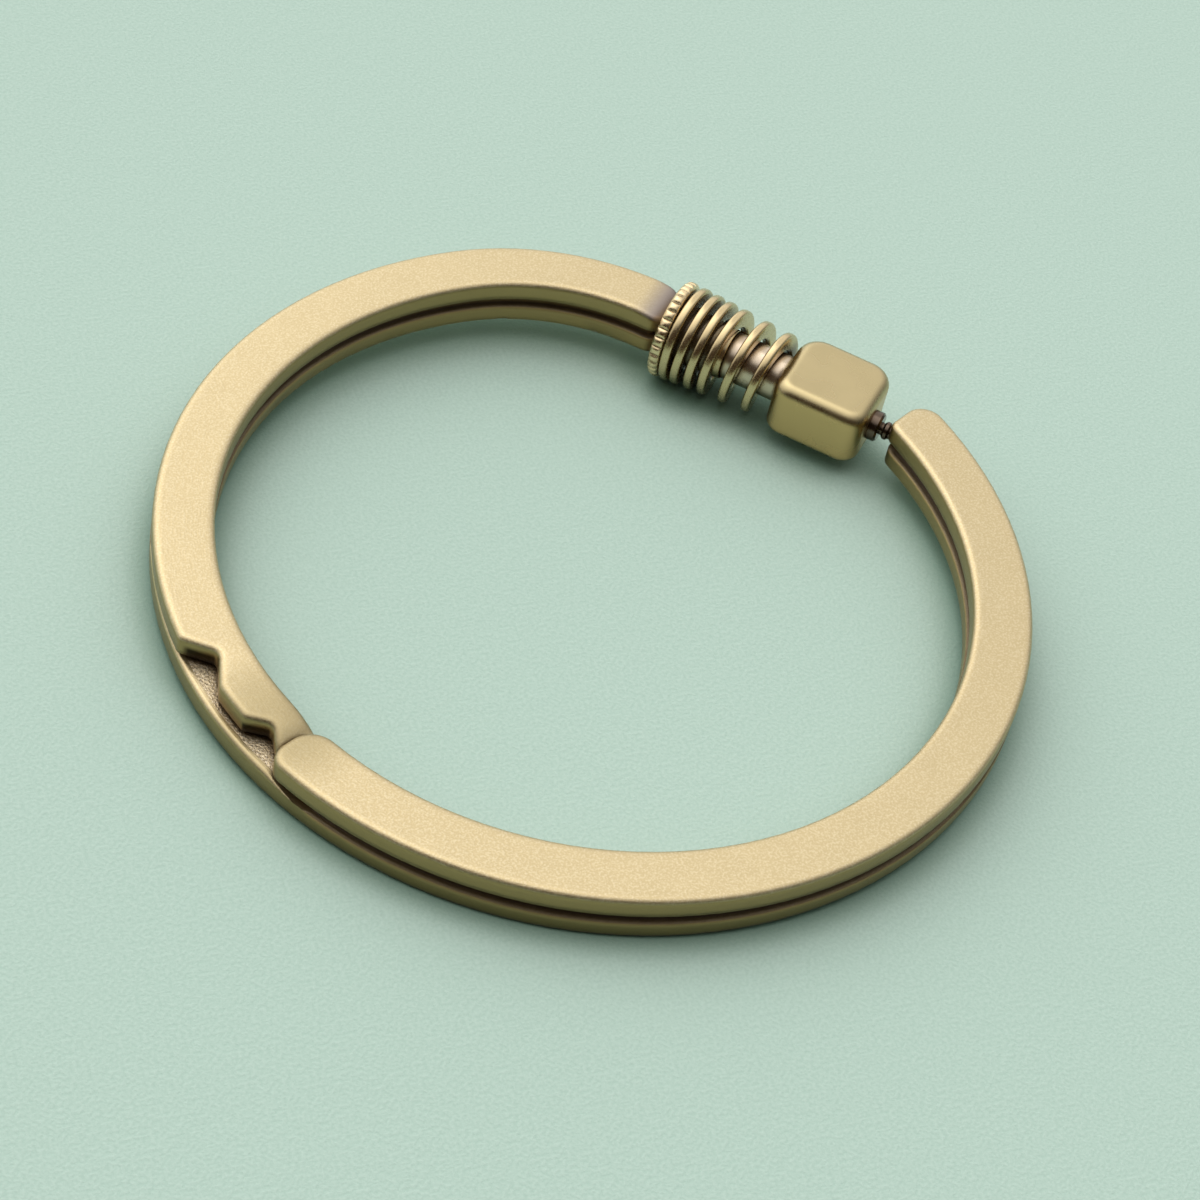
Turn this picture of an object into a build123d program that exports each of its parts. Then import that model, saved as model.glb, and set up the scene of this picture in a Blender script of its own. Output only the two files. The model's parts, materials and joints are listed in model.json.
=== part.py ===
"""Key ring of flat double band, closed by a spring-loaded sliding clasp.

The ring lies flat in XY with its centre at the origin and its two turns meeting on the plane
Z = 0. The clasp bridges the gap in the ring on the side of +X +Y. Every plan outline is drawn
in the clasp's own plane, the deck: x runs along the clasp from its spring end to its latch end,
y points from the ring's centre to the clasp, and angles are counted from x towards y.
All lengths are in millimetres.
"""

import os
from math import atan2, cos, degrees, radians, sin, sqrt, tan

from build123d import *

# --- driving dimensions: the double band ---------------------------------------------------
outer_diameter = 32.0
band_width = 2.2            # of each turn, across
turn_height = 0.975         # of each turn
groove_height = 0.42        # of the dark line between the two turns
groove_depth = 0.3
edge_radius = 0.2           # on the edges that show

# --- driving dimensions: the clasp's line ----------------------------------------------------
clasp_inset = 0.25          # of the clasp's axis, inside the middle of the band's latch end
spring_end_x = -3.13        # end face of the band behind the collar
spring_end_shift = 0.17     # of the middle of that straightened end, outside the clasp's axis
spring_end_straight = 0.82  # of that end, before the band bends into the circle
spring_end_corner = 0.65
latch_end_slant = 16.5      # angle of the band's end face at the latch, off the square
latch_setback = 0.15        # of the lower turn's end, behind the upper turn's
latch_outer_corner = 0.85
latch_inner_corner = 0.45
roll_off_length = 1.3       # the top dips over this length before the collar
roll_off_drop = 0.26

# --- driving dimensions: the joggle of the upper turn ----------------------------------------
joggle_angle = 251.2        # where the rounded free end of the upper turn stands
nose_outer_corner = 0.7
nose_inner_corner = 1.0
notch_mouths = (20.6, 6.1)             # angle of each notch's mouth, before that free end
notch_sweeps = (3.6, 2.8)              # angle that each notch's slanted wall takes
return_sweeps = (5.2, 3.9)             # angle over which the edge comes back out
notch_depth = 1.08                     # from the outer edge to a notch's root
tongue_setback = 0.42                  # of the edge between and after them, from the outer edge
mouth_radius = 0.25
root_radius = 0.33
tongue_clearance = 0.08                # between the tongue and the rounded free end
tongue_reach = 1.1                     # angle that the tongue goes on past the joggle
dive_length = 1.3                      # the tongue's top dives over this length
dive_drop = 0.42

# --- driving dimensions: collar, rod and spring ----------------------------------------------
collar_thickness = 0.49
collar_diameter = 3.96
knurl_count = 31
knurl_bead_radius = 0.2
rim_crown = 0.17            # how far the rim rounds off towards both faces
rod_diameter = 1.0
rod_seat_depth = 1.5        # of the rod in the band's end
rod_setback = 0.8           # of its free end, short of the block, inside the block's neck
wire_width = 0.36           # flat wire with round edges, wound on edge
wire_depth = 0.7            # towards the spring's axis
seat_play = 0.02            # between the spring's flat half turn and the collar
spring_diameter = 3.94      # outside, at the collar
spring_taper = 3.4          # degrees, towards the block
end_turns = 0.5             # flat half turn that bears on the collar
seat_end_angle = 45.0       # where the wire leaves the collar, from the top towards the ring's centre
close_turns = 3.0
close_pitch = 0.57
open_turns = 2.5
open_pitch = 0.98
coil_points_per_turn = 10

# --- driving dimensions: block and latch pin -------------------------------------------------
block_length = 3.86
block_width = 3.76
spring_overhang = 0.535     # of the spring's last turn, above and below the block
block_shift = 0.06          # of its middle away from the ring's centre, off the clasp's axis
block_far_corner = 0.98
block_near_corner = 0.75
block_top_edge = 0.5
block_bottom_edge = 0.3
neck_clearance = 0.065      # between the neck and the spring's last turn
neck_gap = 0.06             # left between the neck and the collar with the clasp fully open
neck_edge_radius = 0.12
running_clearance = 0.04    # radial, for the rod in its bore and the pin in its socket
bore_spare = 0.3            # bore left beyond the rod's end with the clasp fully open
clasp_travel = 2.1
pin_shift = 0.25            # of the pin's axis towards the ring's centre, off the clasp's
pin_reach = 1.04            # from the block to the band's slanted end face, on the clasp's axis
pin_flange_diameter = 1.2
pin_flange_thickness = 0.4
pin_waist_diameter = 0.5
pin_waist_length = 0.12
pin_barrel_diameter = 0.72
pin_rim_chamfer = 0.08
pin_tip_diameter = 0.56
pin_seat_depth = 1.4        # pressed into the block
latch_depth = 0.4           # of the tip in its socket
latch_gap = 0.06            # between the barrel's shoulder and the band's slanted end face

# --- worked out from them ----------------------------------------------------------------------
outer_radius = outer_diameter / 2
inner_radius = outer_radius - band_width
mid_radius = outer_radius - band_width / 2
half_groove = groove_height / 2
collar_face_x = spring_end_x + collar_thickness
seat_x = collar_face_x + seat_play + wire_width / 2
spring_rise = close_turns * close_pitch + open_turns * open_pitch
block_x = seat_x + spring_rise + wire_width / 2
block_end_x = block_x + block_length
latch_end_x = block_end_x + pin_reach
clasp_offset = sqrt(mid_radius**2 - latch_end_x**2) - clasp_inset
spring_end_offset = clasp_offset + spring_end_shift
# the bend's middle line is a circle that touches both the ring's and the straightened end's
bend_x = spring_end_x - spring_end_straight
bend_radius = (mid_radius**2 - bend_x**2 - spring_end_offset**2) / (2 * (mid_radius - spring_end_offset))
bend_centre = (bend_x, spring_end_offset - bend_radius)
bend_angle = degrees(atan2(bend_centre[1], bend_centre[0]))
rod_end_x = block_x - rod_setback
neck_x = collar_face_x + clasp_travel + neck_gap
last_turn_diameter = spring_diameter - 2 * spring_rise * tan(radians(spring_taper))
block_height = last_turn_diameter - 2 * spring_overhang
neck_diameter = last_turn_diameter - 2 * (wire_depth + neck_clearance)
slant = tan(radians(latch_end_slant))
shoulder_x = latch_end_x - slant * (pin_shift + pin_barrel_diameter / 2) - latch_gap

deck = Plane(origin=(0, 0, 0), x_dir=(1, -1, 0), z_dir=(0, 0, 1))
# the clasp's cross-section plane: it faces along the clasp, with its origin on the axis at x = 0
across = Plane(origin=deck.from_local_coords((0, clasp_offset, 0)), x_dir=(0, 0, 1), z_dir=deck.x_dir)
# the same axis seen from above, for profiles that are revolved about it, and the latch pin's
along = Plane(origin=across.origin, x_dir=deck.x_dir, z_dir=(0, 0, 1))
along_pin = Plane(origin=across.from_local_coords((0, pin_shift, 0)), x_dir=deck.x_dir, z_dir=(0, 0, 1))


def polar(radius, angle):
    """A point of the deck at that distance and angle from the ring's centre."""
    return (radius * cos(radians(angle)), radius * sin(radians(angle)))


def nearest(vertices, radius, angle):
    """The corner that lies nearest to a place on the deck."""
    return vertices.sort_by_distance(Vector(*polar(radius, angle)))[0]


def latch_line(y, shift=0.0):
    """A point of the latch end's face, at that distance from the ring's centre line."""
    return (latch_end_x + shift + slant * (y - clasp_offset), y)


def band_plan(inset=0.0, setback=0.0):
    """Plan of the whole band: a ring open at the clasp, with its straightened spring end.

    An inset draws it smaller by that much on every side, and a setback ends it short of the latch.
    """
    far = outer_diameter
    outside = outer_radius - inset
    inside = inner_radius + inset
    end_x = spring_end_x - inset
    half_width = band_width / 2 - inset
    with BuildSketch() as plan:
        Circle(outside)
        Circle(inside, mode=Mode.SUBTRACT)
        with BuildLine():
            Polyline(
                (0, 0),
                polar(far, bend_angle),
                (0, far),
                latch_line(far, inset + setback),
                latch_line(inner_radius / 2, inset + setback),
                close=True,
            )
        make_face(mode=Mode.SUBTRACT)
        with BuildLine():
            outer = CenterArc(bend_centre, bend_radius + half_width, bend_angle, 90 - bend_angle)
            inner = CenterArc(bend_centre, bend_radius - half_width, bend_angle, 90 - bend_angle)
            Polyline(
                outer @ 1,
                (end_x, spring_end_offset + half_width),
                (end_x, spring_end_offset - half_width),
                inner @ 1,
            )
            Line(inner @ 0, outer @ 0)
        make_face()
        for x, y, rounding in (
            (end_x, spring_end_offset + half_width, spring_end_corner),
            (end_x, spring_end_offset - half_width, spring_end_corner),
            (latch_end_x, clasp_offset + half_width, latch_outer_corner),
            (latch_end_x, clasp_offset - half_width, latch_inner_corner),
        ):
            if rounding > inset:
                fillet(plan.vertices().sort_by_distance(Vector(x, y))[0], rounding - inset)
    return plan.sketch


def onward(angle):
    """Everything from that angle on, round to the clasp."""
    far = outer_diameter
    with BuildSketch() as wedge:
        with BuildLine():
            Polyline((0, 0), polar(far, angle), (far, -far), (far, far), (0, far), close=True)
        make_face()
    return wedge.sketch


def nose_plan(inset=0.0):
    """Plan of the upper turn from its rounded free end to the latch end."""
    far = outer_diameter
    start = joggle_angle + degrees(inset / mid_radius)
    with BuildSketch() as plan:
        add(band_plan(inset))
        with BuildLine():
            Polyline((0, 0), polar(far, start), (-far, 0), (-far, far), (0, far), close=True)
        make_face(mode=Mode.SUBTRACT)
        for radius, corner in (
            (outer_radius - inset, nose_outer_corner),
            (inner_radius + inset, nose_inner_corner),
        ):
            if corner > inset:
                fillet(nearest(plan.vertices(), radius, start), corner - inset)
    return plan.sketch


def notch_plan(inset=0.0):
    """What the two notches take out of the upper turn, down to its tongue's outer edge."""
    root = outer_radius - notch_depth
    crest = outer_radius - tongue_setback
    beyond = outer_radius + band_width
    first_mouth, second_mouth = (joggle_angle - before for before in notch_mouths)
    first_root = first_mouth + notch_sweeps[0]
    first_crest = first_root + return_sweeps[0]
    second_root = second_mouth + notch_sweeps[1]
    second_crest = second_root + return_sweeps[1]
    past_end = joggle_angle + 4 * tongue_reach
    with BuildSketch() as plan:
        with BuildLine():
            first = Polyline(
                polar(beyond, first_mouth),
                polar(outer_radius, first_mouth),
                polar(root, first_root),
                polar(crest, first_crest),
            )
            edge = CenterArc((0, 0), crest, first_crest, second_mouth - first_crest)
            second = Polyline(
                edge @ 1,
                polar(root, second_root),
                polar(crest, second_crest),
                polar(crest, past_end),
                polar(beyond, past_end),
            )
            Line(second @ 1, first @ 0)
        make_face()
        if inset:
            offset(amount=inset, mode=Mode.REPLACE)
        else:
            for radius, angle, rounding in (
                (root, first_root, root_radius),
                (crest, first_crest, mouth_radius),
                (crest, second_mouth, mouth_radius),
                (root, second_root, root_radius),
            ):
                fillet(nearest(plan.vertices(), radius, angle), rounding)
    return plan.sketch


def tongue_plan(inset=0.0):
    """Plan of the upper turn from the spring end on, with its notches, to past the free end."""
    with BuildSketch() as plan:
        add(band_plan(inset))
        add(onward(joggle_angle + 3 * tongue_reach), mode=Mode.SUBTRACT)
        add(notch_plan(inset), mode=Mode.SUBTRACT)
        if not inset:
            fillet(nearest(plan.vertices(), outer_radius, joggle_angle - notch_mouths[0]), mouth_radius)
    return plan.sketch


def rim(part):
    """The edges around everything that faces up."""
    edges = part.faces().filter_by(lambda face: face.normal_at().Z > 0.5).edges()
    return edges.filter_by(lambda edge: edges.count(edge) == 1)


def upright(origin_x, origin_y, heading):
    """Vertical plane through a point of the deck, with x along the heading and y up."""
    forward = deck.from_local_coords((cos(radians(heading)), sin(radians(heading)), 0))
    sideways = deck.from_local_coords((sin(radians(heading)), -cos(radians(heading)), 0))
    return Plane(origin=deck.from_local_coords((origin_x, origin_y, 0)), x_dir=forward, z_dir=sideways)


def falling_away(plane, length, drop):
    """What lies above a surface that falls away from the top of a turn in one arc."""
    radius = (length**2 + drop**2) / (2 * drop)
    reach = 4 * length
    with BuildSketch(plane) as above:
        with BuildLine():
            fall = RadiusArc((0, turn_height), (length, turn_height - drop), radius)
            high = 2 * turn_height
            Polyline(fall @ 1, (reach, turn_height - drop), (reach, high), (0, high), fall @ 0)
        make_face()
    return above.sketch


def along_clasp(x, diameter, shift=0.0):
    """Round section of the clasp's line at that place along it, or shifted towards the ring's centre."""
    with BuildSketch(across.offset(x)) as section:
        with Locations((0, shift)):
            Circle(diameter / 2)
    return section.sketch


def latch_socket():
    """What the latch pin's socket takes out of the band's end."""
    start = latch_end_x - slant * band_width
    diameter = pin_tip_diameter + 2 * running_clearance
    depth = latch_end_x + latch_depth + running_clearance - start
    with BuildPart() as socket:
        extrude(along_clasp(start, diameter, pin_shift), amount=depth)
    return socket.part


# --- the band -------------------------------------------------------------------------------------

spring_end_roll = falling_away(
    upright(spring_end_x - roll_off_length, clasp_offset, 0), roll_off_length, roll_off_drop
)
dive_angle = joggle_angle - degrees(dive_length / mid_radius)
tongue_dive = falling_away(
    upright(*polar(mid_radius, dive_angle), dive_angle + 90), dive_length, dive_drop
)

with BuildPart() as lower_turn:
    with BuildSketch(deck.offset(-turn_height)):
        add(band_plan(setback=latch_setback))
    extrude(amount=turn_height - half_groove)
    fillet(lower_turn.faces().sort_by(Axis.Z)[0].edges(), edge_radius)
    with BuildSketch(deck.offset(-half_groove)):
        add(band_plan(groove_depth, latch_setback))
    extrude(amount=half_groove)
    extrude(along_clasp(spring_end_x, rod_diameter), amount=-rod_seat_depth, mode=Mode.SUBTRACT)
    add(latch_socket(), mode=Mode.SUBTRACT)

with BuildPart() as upper_turn_left:
    with BuildSketch(deck.offset(half_groove)):
        add(tongue_plan())
    extrude(amount=turn_height - half_groove)
    extrude(tongue_dive, amount=band_width, both=True, mode=Mode.SUBTRACT)
    extrude(spring_end_roll, amount=band_width, both=True, mode=Mode.SUBTRACT)
    fillet(rim(upper_turn_left), edge_radius)
    with BuildSketch(deck):
        add(tongue_plan(groove_depth))
    extrude(amount=half_groove)
    with BuildSketch(deck):
        add(onward(joggle_angle + tongue_reach - degrees(tongue_clearance / mid_radius)))
        add(offset(nose_plan(), amount=tongue_clearance, mode=Mode.PRIVATE))
    extrude(amount=turn_height, mode=Mode.SUBTRACT)
    extrude(along_clasp(spring_end_x, rod_diameter), amount=-rod_seat_depth, mode=Mode.SUBTRACT)

with BuildPart() as upper_turn_right:
    with BuildSketch(deck.offset(half_groove)):
        add(nose_plan())
    extrude(amount=turn_height - half_groove)
    fillet(upper_turn_right.faces().sort_by(Axis.Z)[-1].edges(), edge_radius)
    with BuildSketch(deck):
        add(nose_plan(groove_depth))
    extrude(amount=half_groove)
    add(latch_socket(), mode=Mode.SUBTRACT)

# --- the spring end: collar, rod and spring ------------------------------------------------------

with BuildPart() as knurled_collar:
    with BuildSketch(along):
        with BuildLine():
            rim_radius = collar_diameter / 2
            crown = ThreePointArc(
                (spring_end_x, rim_radius - rim_crown),
                (spring_end_x + collar_thickness / 2, rim_radius),
                (collar_face_x, rim_radius - rim_crown),
            )
            bore = rod_diameter / 2
            Polyline(crown @ 0, (spring_end_x, bore), (collar_face_x, bore), crown @ 1)
        make_face()
    revolve(axis=Axis(along.origin, along.x_dir))
    with BuildSketch(across.offset(spring_end_x - collar_thickness)):
        bead_circle = rim_radius - knurl_bead_radius
        Circle(bead_circle)
        with PolarLocations(bead_circle, knurl_count):
            Circle(knurl_bead_radius)
    extrude(amount=3 * collar_thickness, mode=Mode.INTERSECT)

with BuildPart() as guide_rod:
    with BuildSketch(across.offset(spring_end_x - rod_seat_depth)):
        Circle(rod_diameter / 2)
    extrude(amount=rod_end_x - spring_end_x + rod_seat_depth)
    chamfer(guide_rod.edges().sort_by(Axis(across.origin, across.z_dir))[-1], rod_diameter / 6)


def coil_point(turns):
    """Centre of the spring's wire after that many turns from its seat on the collar."""
    rise = 0
    left = turns
    for count, pitch in ((end_turns, 0), (close_turns, close_pitch), (open_turns, open_pitch)):
        rise += min(left, count) * pitch
        left -= min(left, count)
    radius = (spring_diameter - wire_depth) / 2 - rise * tan(radians(spring_taper))
    angle = radians(seat_end_angle + 360 * (end_turns - turns))
    return across.from_local_coords((radius * cos(angle), radius * sin(angle), seat_x + rise))


with BuildPart() as compression_spring:
    with BuildLine() as coil:
        steps = round((end_turns + close_turns + open_turns) * coil_points_per_turn)
        wire = Spline(*[coil_point(step / coil_points_per_turn) for step in range(steps + 1)])
    seat_centre = across.from_local_coords((0, 0, seat_x))
    with BuildSketch(Plane(origin=wire @ 0, x_dir=wire @ 0 - seat_centre, z_dir=wire % 0)):
        SlotOverall(wire_depth, wire_width)
    sweep(is_frenet=True)

# --- the sliding clasp -----------------------------------------------------------------------------

with BuildPart() as clasp_block:
    with BuildSketch(deck.offset(-block_height / 2)) as block_plan:
        with Locations((block_x + block_length / 2, clasp_offset + block_shift)):
            Rectangle(block_length, block_width)
        fillet(block_plan.vertices().group_by(Axis.Y)[-1], block_far_corner)
        fillet(block_plan.vertices().group_by(Axis.Y)[0], block_near_corner)
    extrude(amount=block_height)
    fillet(clasp_block.faces().sort_by(Axis.Z)[-1].edges(), block_top_edge)
    fillet(clasp_block.faces().sort_by(Axis.Z)[0].edges(), block_bottom_edge)
    extrude(along_clasp(neck_x, neck_diameter), amount=block_x - neck_x + block_top_edge)
    neck_end = clasp_block.faces().sort_by(Axis(across.origin, across.z_dir))[0]
    fillet(neck_end.edges(), neck_edge_radius)
    extrude(
        along_clasp(neck_x, rod_diameter + 2 * running_clearance),
        amount=rod_end_x - neck_x + clasp_travel + bore_spare,
        mode=Mode.SUBTRACT,
    )
    pin_seat = along_clasp(block_end_x, pin_tip_diameter, pin_shift)
    extrude(pin_seat, amount=-pin_seat_depth, mode=Mode.SUBTRACT)

with BuildPart() as latch_pin:
    with BuildSketch(along_pin) as pin_profile:
        flange_end = block_end_x + pin_flange_thickness
        waist_end = flange_end + pin_waist_length
        with BuildLine():
            Polyline(
                (block_end_x - pin_seat_depth, 0),
                (block_end_x - pin_seat_depth, pin_tip_diameter / 2),
                (block_end_x, pin_tip_diameter / 2),
                (block_end_x, pin_flange_diameter / 2),
                (flange_end, pin_flange_diameter / 2),
                (flange_end, pin_waist_diameter / 2),
                (waist_end, pin_waist_diameter / 2),
                (waist_end, pin_barrel_diameter / 2),
                (shoulder_x, pin_barrel_diameter / 2),
                (shoulder_x, pin_tip_diameter / 2),
                (latch_end_x + latch_depth, pin_tip_diameter / 2),
                (latch_end_x + latch_depth, 0),
                close=True,
            )
        make_face()
        above_tip = (pin_tip_diameter + pin_barrel_diameter) / 4
        clear_of_block = block_end_x + pin_rim_chamfer
        rims = pin_profile.vertices().filter_by(lambda v: v.X > clear_of_block and v.Y > above_tip)
        chamfer(rims, pin_rim_chamfer)
        tip_rim = pin_profile.vertices().filter_by(lambda v: v.Y > 0).sort_by(Axis.X)[-1]
        chamfer(tip_rim, pin_tip_diameter / 6)
    revolve(axis=Axis(along_pin.origin, along_pin.x_dir))

os.makedirs("parts", exist_ok=True)
for name, sub_part in (
    ("lower_turn", lower_turn),
    ("upper_turn_left", upper_turn_left),
    ("upper_turn_right", upper_turn_right),
    ("knurled_collar", knurled_collar),
    ("guide_rod", guide_rod),
    ("compression_spring", compression_spring),
    ("clasp_block", clasp_block),
    ("latch_pin", latch_pin),
):
    sub_part.part.label = name
    export_step(sub_part.part, f"parts/{name}.step")
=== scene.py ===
"""Looks of the flat key ring with its sprung clasp: finishes, coil spring, table top and light."""

import json
import math

import bmesh
import bpy
import numpy as np
from mathutils import Matrix, Vector


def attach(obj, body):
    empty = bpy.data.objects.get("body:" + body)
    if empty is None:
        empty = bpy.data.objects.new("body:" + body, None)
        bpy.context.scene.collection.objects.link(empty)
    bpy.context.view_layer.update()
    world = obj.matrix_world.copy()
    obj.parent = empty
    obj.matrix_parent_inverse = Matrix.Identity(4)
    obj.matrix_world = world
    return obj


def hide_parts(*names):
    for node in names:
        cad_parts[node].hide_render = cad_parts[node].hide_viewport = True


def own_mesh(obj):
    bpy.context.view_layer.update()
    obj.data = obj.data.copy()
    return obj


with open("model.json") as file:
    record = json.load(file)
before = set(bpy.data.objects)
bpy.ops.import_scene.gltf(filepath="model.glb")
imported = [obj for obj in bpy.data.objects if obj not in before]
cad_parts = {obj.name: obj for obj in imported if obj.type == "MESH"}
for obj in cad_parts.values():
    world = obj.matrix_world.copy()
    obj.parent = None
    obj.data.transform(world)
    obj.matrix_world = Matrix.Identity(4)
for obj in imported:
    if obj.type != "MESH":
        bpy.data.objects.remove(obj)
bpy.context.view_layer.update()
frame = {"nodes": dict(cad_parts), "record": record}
mm = 0.001

# --- directions and places, from the frame -------------------------------------------------------
along = Vector((1, -1, 0)).normalized()  # along the clasp, from its spring end to its latch end
outward = Vector((1, 1, 0)).normalized()  # from the ring's centre to the clasp
up = Vector((0, 0, 1))


def reach(node, direction):
    """How far the node goes back and forth along a direction."""
    places = [vertex.co.dot(direction) for vertex in frame["nodes"][node].data.vertices]
    return min(places), max(places)


axis_offset = sum(reach("knurled_collar", outward)) / 2  # from the ring's centre to the clasp's axis
collar_back, collar_face = reach("knurled_collar", along)
spring_back, spring_front = reach("compression_spring", along)
block_face = collar_face + spring_front - spring_back
band_bottom = reach("lower_turn", up)[0]
outer_radius = -reach("lower_turn", Vector((0, 1, 0)))[0]


def spoke(angle):
    """Direction from the ring's centre at that angle, counted from the clasp's line outwards."""
    return math.cos(math.radians(angle)) * along + math.sin(math.radians(angle)) * outward


notch_start, notch_end = 230.6, 251.2  # angles round the ring
notch_middle = (notch_start + notch_end) / 2
notch_place = spoke(notch_middle) * (outer_radius - 0.8 * mm)
tongue_place = spoke(248) * (outer_radius - 1.3 * mm)
lip_start, lip_end = notch_start - 21, notch_end + 6
lip_place = spoke((lip_start + lip_end) / 2) * outer_radius
lip_spread = outer_radius * math.radians(lip_end - lip_start) / 2

# --- nodes of materials and of the world ---------------------------------------------------------


def add(tree, kind, inputs=None, **settings):
    """Adds a shader node; an input that is another node's socket is linked, any other is set."""
    node = tree.nodes.new("ShaderNode" + kind)
    for name, value in settings.items():
        setattr(node, name, value)
    for name, value in (inputs or {}).items():
        if isinstance(value, bpy.types.NodeSocket):
            tree.links.new(value, node.inputs[name])
        else:
            node.inputs[name].default_value = value
    return node


def rise(tree, value, low, high, to_low=0.0, to_high=1.0):
    """A soft step: to_low up to low, to_high from high on."""
    inputs = {"Value": value, "From Min": low, "From Max": high, "To Min": to_low, "To Max": to_high}
    return add(tree, "MapRange", inputs, interpolation_type="SMOOTHSTEP").outputs[0]


def times(tree, product, *factors):
    """The product of two or more values."""
    for factor in factors:
        product = add(tree, "Math", {0: product, 1: factor}, operation="MULTIPLY").outputs[0]
    return product


def mixed(tree, share, one, other):
    """The first colour or vector where share is 0, the second where it is 1."""
    one, other = ((*color, 1) if isinstance(color, tuple) else color for color in (one, other))
    return add(tree, "Mix", {"Factor": share, "A": one, "B": other}, data_type="RGBA").outputs["Result"]


def noise(tree, place, size, detail):
    """Even noise with grains of about that size."""
    return add(tree, "TexNoise", {"Vector": place, "Scale": 1 / size, "Detail": detail}).outputs["Fac"]


def dot(tree, vector, direction):
    """How far the vector goes along a direction."""
    return add(tree, "VectorMath", {0: vector, 1: direction}, operation="DOT_PRODUCT").outputs["Value"]


def distance(tree, place, other):
    """How far apart two places are."""
    return add(tree, "VectorMath", {0: place, 1: other}, operation="DISTANCE").outputs["Value"]


def length(tree, vector):
    """The vector's length."""
    return add(tree, "VectorMath", {0: vector}, operation="LENGTH").outputs["Value"]


def height(tree, vector):
    """The vector's upward part."""
    return add(tree, "SeparateXYZ", {0: vector}).outputs["Z"]


def face_normal(tree):
    """The normal of the face itself, before any smoothing."""
    return add(tree, "NewGeometry").outputs["True Normal"]


def upright(tree):
    """1 on walls that stand upright, 0 on tops and undersides."""
    slope = add(tree, "Math", {0: height(tree, face_normal(tree))}, operation="ABSOLUTE").outputs[0]
    return rise(tree, slope, 0.55, 0.2)


def recess(tree, span, dark, light):
    """0 deep in a recess, 1 in the open, by how much of the sky is hidden within that span."""
    hollow = add(tree, "AmbientOcclusion", {"Distance": span}, samples=8).outputs["AO"]
    return rise(tree, hollow, dark, light)


def softened(tree, radius):
    """The normal with every edge rounded by that radius."""
    return add(tree, "Bevel", {"Radius": radius}, samples=6).outputs[0]


def bumped(tree, relief, depth, strength, below=None):
    """The normal with a relief on it, over another normal or over the plain one."""
    inputs = {"Height": relief, "Distance": depth, "Strength": strength}
    if below:
        inputs["Normal"] = below
    return add(tree, "Bump", inputs).outputs[0]


def new_material(name):
    """An empty node material, with its shader and the place in the object."""
    material = bpy.data.materials.new(name)
    material.use_nodes = True
    tree = material.node_tree
    return material, tree, tree.nodes["Principled BSDF"], add(tree, "TexCoord").outputs["Object"]


def join(tree, shader, sockets):
    """Links sockets to the shader's inputs of those names."""
    for name, socket in sockets.items():
        tree.links.new(socket, shader.inputs[name])


# --- finishes ------------------------------------------------------------------------------------
brown, shade_black = (0.13, 0.08, 0.03), (0.045, 0.025, 0.01)  # painted shade in recesses


def round_the_ring(tree, place, slowness):
    """The place with its distance round the ring shortened, which draws any grain out along the band."""
    apart = add(tree, "SeparateXYZ", {0: place}).outputs
    flat = add(tree, "CombineXYZ", {"X": apart["X"], "Y": apart["Y"]}).outputs[0]
    angle = add(tree, "Math", {0: apart["Y"], 1: apart["X"]}, operation="ARCTAN2").outputs[0]
    arc = times(tree, angle, outer_radius / slowness)
    return add(tree, "CombineXYZ", {"X": length(tree, flat), "Y": arc, "Z": apart["Z"]}).outputs[0]


def collar_painted_reflection(tree, place):
    """1 on the band's spring end, beside the collar, where a dark reflection is painted, and 0 elsewhere.
    """
    on_line = dot(tree, place, along)
    return times(
        tree,
        rise(tree, on_line, collar_back - 1.5 * mm, collar_back - 0.3 * mm),
        rise(tree, on_line, collar_face, collar_face - 0.1 * mm),
        rise(tree, dot(tree, place, outward), 0.7 * axis_offset, 0.8 * axis_offset),
    )


def notch_painted_shade(tree, place, wall):
    """1 low on the steps of the notches, which face along the band, and 0.3 low on their long walls, where
    shade is painted.
    """
    from_centre = length(tree, place)
    facing_along = dot(tree, face_normal(tree), spoke(notch_middle + 90))
    return times(
        tree,
        wall,
        rise(tree, height(tree, place), 0.75 * mm, 0.5 * mm),
        rise(tree, from_centre, outer_radius - 0.05 * mm, outer_radius - 0.3 * mm),
        rise(tree, from_centre, outer_radius - 2.1 * mm, outer_radius - 1.9 * mm),
        rise(tree, distance(tree, place, notch_place), 3.7 * mm, 3.2 * mm),
        rise(tree, facing_along, 0.0, 0.45, 0.3, 1.0),
    )


def band_color(tree, place, grain, open_part):
    """Speckled brass, with a painted dark reflection beside the collar and painted shade on the tongue, on
    upright walls, low in the notches and dark in its recesses.
    """
    wall = upright(tree)
    tongue = rise(tree, distance(tree, place, tongue_place), 3.6 * mm, 1.2 * mm, 0.0, 0.6)
    patches = noise(tree, place, 1.2 * mm, 4)
    brass = mixed(tree, patches, (0.535, 0.425, 0.238), (0.585, 0.465, 0.262))
    brass = mixed(tree, rise(tree, grain, 0.4, 0.7, 0.0, 0.4), brass, (0.8, 0.7, 0.48))
    # Painted reflection: the top beside the collar turns dark grey.
    brass = mixed(tree, collar_painted_reflection(tree, place), brass, (0.30, 0.255, 0.235))
    # Painted shade: the tongue is dulled and darkened.
    brass = mixed(tree, tongue, brass, (0.30, 0.24, 0.12))
    # Painted shade: upright walls are darker and browner than the tops.
    brass = mixed(tree, wall, brass, (0.37, 0.27, 0.12))
    # Painted shade: dark brown in the band's recesses.
    color = mixed(tree, open_part, (0.10, 0.06, 0.02), brass)
    # Painted shade: near black low on the notch walls.
    return mixed(tree, notch_painted_shade(tree, place, wall), color, (0.03, 0.018, 0.006))


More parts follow.
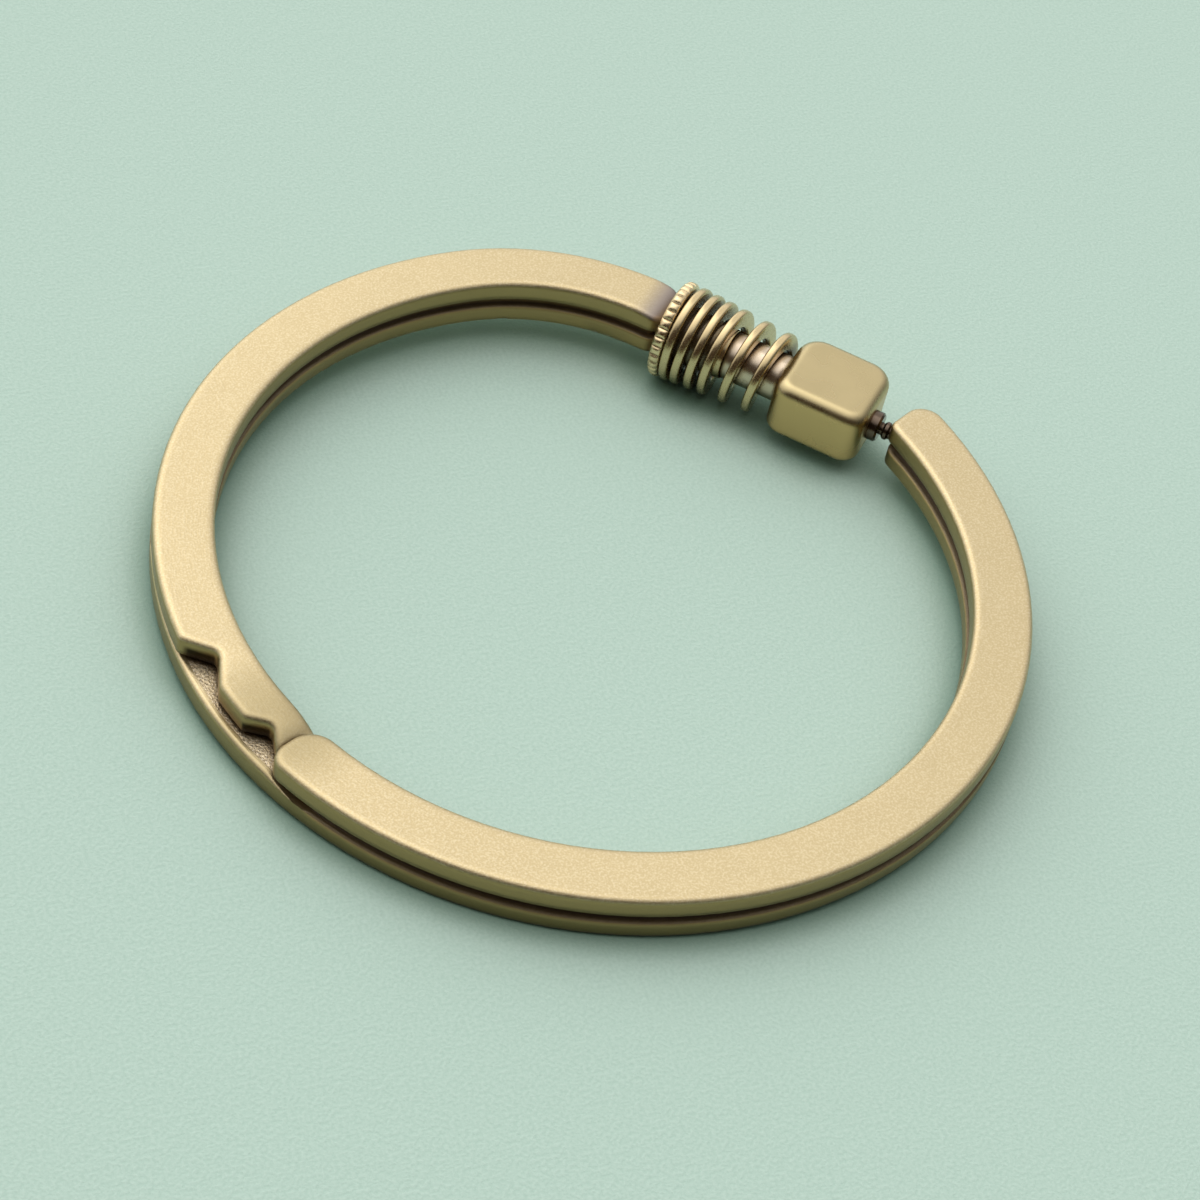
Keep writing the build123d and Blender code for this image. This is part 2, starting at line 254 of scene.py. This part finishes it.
def blasted_color(tree, place, pits):
    """Pitted metal with bright specks as painted glints, and painted shade in brown near the walls round
    it.
    """
    specks = rise(tree, noise(tree, place, 0.06 * mm, 2), 0.55, 0.68, 0.0, 0.8)
    color = mixed(tree, rise(tree, pits, 0.35, 0.65), (0.48, 0.375, 0.235), (0.82, 0.68, 0.45))
    # Painted glints: bright specks in the colour.
    color = mixed(tree, specks, color, (0.95, 0.88, 0.74))
    # Painted shade: brown near the walls round the blasted land.
    return mixed(tree, recess(tree, 0.5 * mm, 0.3, 0.85), (0.2, 0.125, 0.06), color)


def band_finish(name, soft_edge=0.3 * mm, blasted_land=False):
    """Satin brass brushed along the band; the lower turn's land, seen in the notches, is blasted."""
    material, tree, shader, place = new_material(name)
    shader.inputs["Anisotropic"].default_value = 0.3
    grain = noise(tree, place, 0.08 * mm, 4)
    strokes = noise(tree, round_the_ring(tree, place, 14), 0.045 * mm, 4)
    open_part = recess(tree, 0.9 * mm, 0.3, 0.86)
    color = band_color(tree, place, grain, open_part)
    roughness = rise(tree, grain, 0.3, 0.7, 0.33, 0.41)
    # The metal drops out in recesses, so the painted shade there shows.
    shine = rise(tree, open_part, 0.0, 0.5)
    edges = softened(tree, soft_edge) if soft_edge else None
    if blasted_land:
        # No edge is softened beside the lip, which covers the turn's own edge there.
        beside_lip = rise(tree, distance(tree, place, lip_place), lip_spread + 0.5 * mm, lip_spread)
        edges = mixed(tree, beside_lip, edges, add(tree, "NewGeometry").outputs["Normal"])
    normal = bumped(tree, grain, 0.012 * mm, 0.5, edges)
    normal = bumped(tree, strokes, 0.008 * mm, 0.5, normal)
    if blasted_land:
        facing_up = rise(tree, height(tree, face_normal(tree)), 0.5, 0.9)
        land = times(tree, rise(tree, height(tree, place), -0.06 * mm, -0.02 * mm), facing_up)
        pits = noise(tree, place, 0.1 * mm, 5)
        color = mixed(tree, land, color, blasted_color(tree, place, pits))
        roughness = add(tree, "Mix", {"Factor": land, "A": roughness, "B": 0.5}).outputs["Result"]
        shine = add(tree, "Math", {0: shine, 1: land}, operation="MAXIMUM").outputs[0]
        normal = bumped(tree, times(tree, pits, land), 0.06 * mm, 0.7, normal)
    sockets = {
        "Base Color": color,
        "Metallic": shine,
        "Roughness": roughness,
        "Normal": normal,
        "Tangent": add(tree, "Tangent", direction_type="RADIAL", axis="Z").outputs[0],
    }
    join(tree, shader, sockets)
    return material


def block_finish():
    """Soft satin brass of the block, its upright sides tinted by a painted reflection, with the neck
    behind it in plain drawn metal, darkened by painted shade in its recesses.
    """
    material, tree, shader, place = new_material("block_brass")
    shader.inputs["Metallic"].default_value = 1.0
    patches = noise(tree, place, 1.5 * mm, 3)
    brass = mixed(tree, patches, (0.455, 0.37, 0.195), (0.515, 0.415, 0.225))
    # Painted reflection: upright sides are tinted warmer than the top.
    brass = mixed(tree, upright(tree), brass, (0.575, 0.4, 0.18))
    # Painted shade: the neck goes dark brown in its recesses.
    neck = mixed(tree, recess(tree, 0.4 * mm, 0.2, 0.8), (0.16, 0.095, 0.045), (0.62, 0.51, 0.38))
    on_block = rise(tree, dot(tree, place, along), block_face - 0.02 * mm, block_face + 0.02 * mm)
    grain = noise(tree, place, 0.07 * mm, 3)
    sockets = {
        "Base Color": mixed(tree, on_block, neck, brass),
        "Roughness": rise(tree, patches, 0.3, 0.7, 0.25, 0.3),
        "Normal": bumped(tree, grain, 0.003 * mm, 0.4, softened(tree, 0.3 * mm)),
    }
    join(tree, shader, sockets)
    return material


def plain_metal(name, color, recess_shade, shade_span, roughness, grain_size, grain_depth, soft_edge=0.0):
    """A metal with painted shade in its recesses and a fine grain."""
    material, tree, shader, place = new_material(name)
    grain = noise(tree, place, grain_size, 3)
    open_part = recess(tree, shade_span, 0.2, 0.8)
    edges = softened(tree, soft_edge) if soft_edge else None
    sockets = {
        # Painted shade: the metal darkens and stops being metal in its recesses.
        "Base Color": mixed(tree, open_part, recess_shade, color),
        "Metallic": rise(tree, open_part, 0.0, 0.5),
        "Roughness": rise(tree, grain, 0.3, 0.7, roughness - 0.05, roughness + 0.05),
        "Normal": bumped(tree, grain, grain_depth, 0.5, edges),
    }
    join(tree, shader, sockets)
    return material


def paper_finish():
    """Pale green paper with a fine tooth, darker in the shade close to the ring."""
    material, tree, shader, place = new_material("mint_paper")
    shader.inputs["Roughness"].default_value = 0.75
    shader.inputs["Specular IOR Level"].default_value = 0.2
    pebbles = noise(tree, place, 0.13 * mm, 5)
    fibres = noise(tree, place, 0.7 * mm, 3)
    tint = mixed(tree, rise(tree, pebbles, 0.3, 0.7), (0.455, 0.61, 0.52), (0.515, 0.665, 0.575))
    # Painted contact shadow: the paper goes darker green close to the ring.
    tint = mixed(tree, recess(tree, 1.8 * mm, 0.25, 0.95), (0.19, 0.325, 0.24), tint)
    relief = bumped(tree, pebbles, 0.06 * mm, 0.45, bumped(tree, fibres, 0.1 * mm, 0.12))
    join(tree, shader, {"Base Color": tint, "Normal": relief})
    return material


band_brass = band_finish("band_brass")
lower_band_brass = band_finish("lower_band_brass", blasted_land=True)
coil_brass = plain_metal("coil_brass", (0.60, 0.47, 0.26), brown, 0.5 * mm, 0.24, 0.06 * mm, 0.001 * mm)
finishes = {
    "band_brass": band_brass,
    "block_brass": block_finish(),
    "antique_brass": plain_metal(
        "antique_brass", (0.78, 0.61, 0.36), shade_black, 0.2 * mm, 0.24, 0.06 * mm, 0.001 * mm, 0.12 * mm
    ),
    "bright_steel": plain_metal(
        "bright_steel", (0.5, 0.45, 0.4), brown, 0.6 * mm, 0.3, 0.05 * mm, 0.002 * mm
    ),
    "dark_steel": plain_metal(
        "dark_steel", (0.12, 0.088, 0.065), shade_black, 0.5 * mm, 0.2, 0.1 * mm, 0.006 * mm
    ),
}
crease_angle = math.radians(38)  # an edge that bends more than this stays sharp
slots = {row["node"]: row["material_slot"] for row in frame["record"]["subparts"]}
for name, node in frame["nodes"].items():
    node.data.materials.clear()
    node.data.materials.append(lower_band_brass if name == "lower_turn" else finishes[slots[name]])
    node.data.shade_smooth()
    node.modifiers.new("joined", "WELD").merge_threshold = 0.0005 * mm
    node.modifiers.new("creases", "EDGE_SPLIT").split_angle = crease_angle
    evened = node.modifiers.new("evened", "WEIGHTED_NORMAL")
    evened.mode = "FACE_AREA"
    evened.weight = 50


def skinned(name, outlines, material, closed=True, endless=False):
    """A piece skinned over outlines of as many points each: closed or open ones, capped or endless."""
    skin = bmesh.new()
    rings = [[skin.verts.new(point) for point in outline] for outline in outlines]
    for before, after in zip(rings, rings[1:] + (rings[:1] if endless else [])):
        for here in range(len(before) if closed else len(before) - 1):
            there = (here + 1) % len(before)
            skin.faces.new((before[here], before[there], after[there], after[here])).smooth = True
    if not endless:
        skin.faces.new(rings[0])
        skin.faces.new(rings[-1])
    bmesh.ops.recalc_face_normals(skin, faces=skin.faces)
    mesh = bpy.data.meshes.new(name)
    skin.to_mesh(mesh)
    skin.free()
    mesh.materials.append(material)
    piece = bpy.data.objects.new(name, mesh)
    bpy.context.collection.objects.link(piece)
    return piece


# --- the coil spring -----------------------------------------------------------------------------
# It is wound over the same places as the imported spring, in finer steps.
wire_width, wire_depth = 0.36 * mm, 0.7 * mm
wire_corner = 0.13 * mm
seat_play = 0.02 * mm
spring_diameter = 3.94 * mm
taper = math.radians(3.4)
flat_turns, close_turns, open_turns = 0.5, 3.0, 2.5
close_pitch, open_pitch = 0.57 * mm, 0.98 * mm
seat_end_angle = math.radians(45)
steps_per_turn, corner_steps = 64, 5


def coil_point(turns):
    """Centre of the wire after that many turns from the collar."""
    climb, left = 0, turns
    for count, pitch in ((flat_turns, 0), (close_turns, close_pitch), (open_turns, open_pitch)):
        climb += min(left, count) * pitch
        left -= min(left, count)
    radius = (spring_diameter - wire_depth) / 2 - climb * math.tan(taper)
    angle = seat_end_angle + math.tau * (flat_turns - turns)
    around = radius * (math.cos(angle) * up - math.sin(angle) * outward)
    return outward * axis_offset + along * (collar_face + seat_play + wire_width / 2 + climb) + around


def wire_section():
    """Outline of the flat wire, as distances out from its centre and across it."""
    for out, across, quarter in ((1, 1, 0), (-1, 1, 1), (-1, -1, 2), (1, -1, 3)):
        for step in range(corner_steps + 1):
            turn = math.pi / 2 * (quarter + step / corner_steps)
            yield (
                out * (wire_depth / 2 - wire_corner) + wire_corner * math.cos(turn),
                across * (wire_width / 2 - wire_corner) + wire_corner * math.sin(turn),
            )


def wire_outlines(centres):
    """The wire's section at each of its centres, square to its path and deep towards the axis."""
    section = list(wire_section())
    last = len(centres) - 1
    for step, centre in enumerate(centres):
        ahead = (centres[min(step + 1, last)] - centres[max(step - 1, 0)]).normalized()
        middle = outward * axis_offset + along * centre.dot(along)
        side = ahead.cross(centre - middle).normalized()
        out = side.cross(ahead)
        yield [centre + far * out + across * side for far, across in section]


all_turns = flat_turns + close_turns + open_turns
steps = round(all_turns * steps_per_turn)
centres = [coil_point(all_turns * step / steps) for step in range(steps + 1)]
coil = skinned("coil_spring", wire_outlines(centres), coil_brass)
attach(coil, "ring")
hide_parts("compression_spring")
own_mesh(coil)

# --- the sleeve that the spring's close turns sit on ---------------------------------------------
sleeve_length, sleeve_seat, sleeve_shoulder = 2.2 * mm, 0.1 * mm, 0.05 * mm
sleeve_root, sleeve_tip, sleeve_bore = 1.19 * mm, 1.02 * mm, 0.975 * mm  # radii
chamfer_length, chamfer_depth = 0.03 * mm, 0.02 * mm
sleeve_facets = 96


def circle(beyond, radius):
    """Points round the clasp's axis, at that distance beyond the collar's face."""
    centre = outward * axis_offset + along * (collar_face + beyond)
    angles = np.linspace(0, math.tau, sleeve_facets, endpoint=False)
    return [centre + radius * (math.cos(angle) * up + math.sin(angle) * outward) for angle in angles]


sleeve_profile = (
    (-sleeve_seat, sleeve_root),
    (sleeve_shoulder, sleeve_root),
    (sleeve_length - chamfer_length, sleeve_tip),
    (sleeve_length, sleeve_tip - chamfer_depth),
    (sleeve_length, sleeve_bore),
    (-sleeve_seat, sleeve_bore),
)
sleeve = skinned("collar_sleeve", [circle(*corner) for corner in sleeve_profile], coil_brass, endless=True)
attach(sleeve, "ring")

# --- the smooth lip of the lower turn in the notches ---------------------------------------------
lip_width, lip_rounding, lip_height = 0.31 * mm, 0.2 * mm, 0.21 * mm
lip_sink = 0.003 * mm  # how far its ends run out below the step that it stands on
lip_foot = -lip_height - 0.004 * mm
least_rounding = 0.0001 * mm  # keeps the lip's points apart where it has run out
lip_ramps = (lip_start + 1, lip_start + 7, notch_end, lip_end - 1)  # angles where it rises and falls
lip_angle_step, lip_corner_steps = 0.25, 8


def lip_outline(angle):
    """The lip across the band at that angle: outer wall, rounded edge, top and inner wall."""
    stand = lip_height * np.interp(angle, lip_ramps, (0, 1, 1, 0)) - lip_sink
    top = stand - lip_height
    rounding = min(lip_rounding, max(stand * 0.95, 0)) + least_rounding
    points = [(outer_radius, lip_foot)]
    for step in range(lip_corner_steps + 1):
        turn = math.pi / 2 * step / lip_corner_steps
        inwards, below = rounding * (1 - math.cos(turn)), rounding * (1 - math.sin(turn))
        points.append((outer_radius - inwards, top - below))
    points += [(outer_radius - lip_width, top), (outer_radius - lip_width, lip_foot)]
    return [spoke(angle) * radius + up * level for radius, level in points]


lip_outlines = [lip_outline(angle) for angle in np.arange(lip_start, lip_end, lip_angle_step)]
notch_lip = skinned("notch_lip", lip_outlines, band_finish("lip_brass", soft_edge=0.0), closed=False)
notch_lip.modifiers.new("creases", "EDGE_SPLIT").split_angle = crease_angle
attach(notch_lip, "ring")

# --- table top -----------------------------------------------------------------------------------
# The ring lies on its rim opposite the clasp and on the collar, which stands lower, so it leans a little.
table_size = 2.0
collar_low = -reach("knurled_collar", up)[0]
collar_place = outward * axis_offset + along * (collar_back + collar_face) / 2
to_collar = collar_place.normalized()
lean = math.atan2(collar_low + band_bottom, collar_place.length + outer_radius)
floor_up = math.cos(lean) * up + math.sin(lean) * to_collar

bpy.ops.mesh.primitive_plane_add(size=table_size)
floor = bpy.context.object
floor.name = "table_top"
floor.rotation_mode = "QUATERNION"
floor.rotation_quaternion = up.rotation_difference(floor_up)
floor.location = -to_collar * outer_radius + up * band_bottom
floor.data.materials.append(paper_finish())

# --- light ---------------------------------------------------------------------------------------
camera_azimuth = math.radians(-29.4)
sideways = Vector((math.cos(camera_azimuth), math.sin(camera_azimuth), 0))
away = Vector((-math.sin(camera_azimuth), math.cos(camera_azimuth), 0))


def towards(bearing, elevation):
    """Direction at that bearing, from the far side towards the right, and height above the table."""
    level = math.cos(math.radians(bearing)) * away + math.sin(math.radians(bearing)) * sideways
    return math.cos(math.radians(elevation)) * level + math.sin(math.radians(elevation)) * up


world = bpy.data.worlds.new("soft_room")
bpy.context.scene.world = world
world.use_nodes = True
tree = world.node_tree
direction = add(tree, "TexCoord").outputs["Generated"]

# The room is brightest about the main light and dimmer with the angle from it.
main_light = towards(-32, 54)
nearness = add(tree, "MapRange", {"Value": dot(tree, direction, main_light), "From Min": -1.0}).outputs[0]
glow = add(tree, "ValToRGB", {"Fac": nearness})
stops = glow.color_ramp.elements
for angle, level in ((115, 0.03), (95, 0.1), (75, 0.42), (58, 0.87), (42, 1.4), (28, 1.85), (14, 2.3)):
    stops.new((math.cos(math.radians(angle)) + 1) / 2).color = (level, level, level, 1)
stops[0].color = stops[1].color
stops[-1].color = stops[-2].color


def patched(light, aim, wide, narrow, color):
    """The light with a patch of that colour about a direction, from a wide to a narrow angle."""
    edge, core = math.cos(math.radians(wide)), math.cos(math.radians(narrow))
    return mixed(tree, rise(tree, dot(tree, direction, aim), edge, core), light, color)


room = patched(glow.outputs["Color"], towards(8, 43), 31, 12, (1.13, 1.13, 1.13))
room = patched(room, towards(185, 2), 60, 44, (0.06, 0.042, 0.03))
tree.links.new(room, tree.nodes["Background"].inputs["Color"])
tree.nodes["Background"].inputs["Strength"].default_value = 1.0

key_distance = 0.4
key = bpy.data.lights.new("key", "AREA")
key.size = 0.2
key.energy = 0.04
key_lamp = bpy.data.objects.new("key", key)
bpy.context.collection.objects.link(key_lamp)
key_lamp.location = main_light * key_distance
key_lamp.rotation_mode = "QUATERNION"
key_lamp.rotation_quaternion = (-main_light).to_track_quat("-Z", "Y")

# --- camera --------------------------------------------------------------------------------------
camera_elevation = math.radians(46.62)
camera_roll = math.radians(13.96)
camera_distance = 112.07 * mm
target = sideways * 0.468 * mm - away * 1.707 * mm - up * 0.1 * mm
back = math.cos(camera_elevation) * -away + math.sin(camera_elevation) * up
above = back.cross(sideways)
x_axis = math.cos(camera_roll) * sideways + math.sin(camera_roll) * above
y_axis = -math.sin(camera_roll) * sideways + math.cos(camera_roll) * above
aimed = Matrix((x_axis, y_axis, back)).transposed().to_4x4()
camera = bpy.data.objects.new("camera", bpy.data.cameras.new("camera"))
bpy.context.collection.objects.link(camera)
camera.matrix_world = Matrix.Translation(target + back * camera_distance) @ aimed
camera.data.lens = 93.8
camera.data.sensor_width = 36
camera.data.clip_start = 0.001
camera.data.clip_end = 10
bpy.context.scene.camera = camera
bpy.context.scene.view_settings.view_transform = "Standard"
